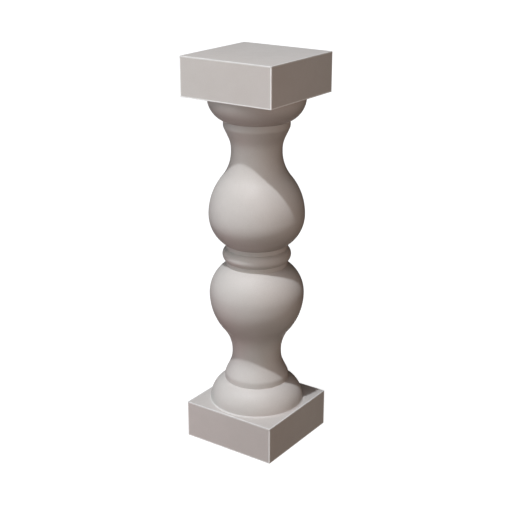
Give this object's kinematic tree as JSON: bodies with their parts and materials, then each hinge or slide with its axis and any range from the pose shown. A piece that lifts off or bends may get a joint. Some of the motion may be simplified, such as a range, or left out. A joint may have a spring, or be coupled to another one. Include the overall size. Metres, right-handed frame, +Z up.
{
  "type": "stone baluster",
  "caption": "Turned stone baluster: a square plinth and cap with a double vase between them, mirrored about a ring at its waist.",
  "frame": {"origin": "middle of the plinth's underside, where the baluster stands", "axes": "+Z up along the axis it was turned on; +X and +Y square to the faces of the plinth and the cap"},
  "size_m": [0.182, 0.182, 0.7],
  "materials": {
    "stone": "satin"
  },
  "bodies": {
    "root": {"baluster": "stone"}
  },
  "joints": []
}
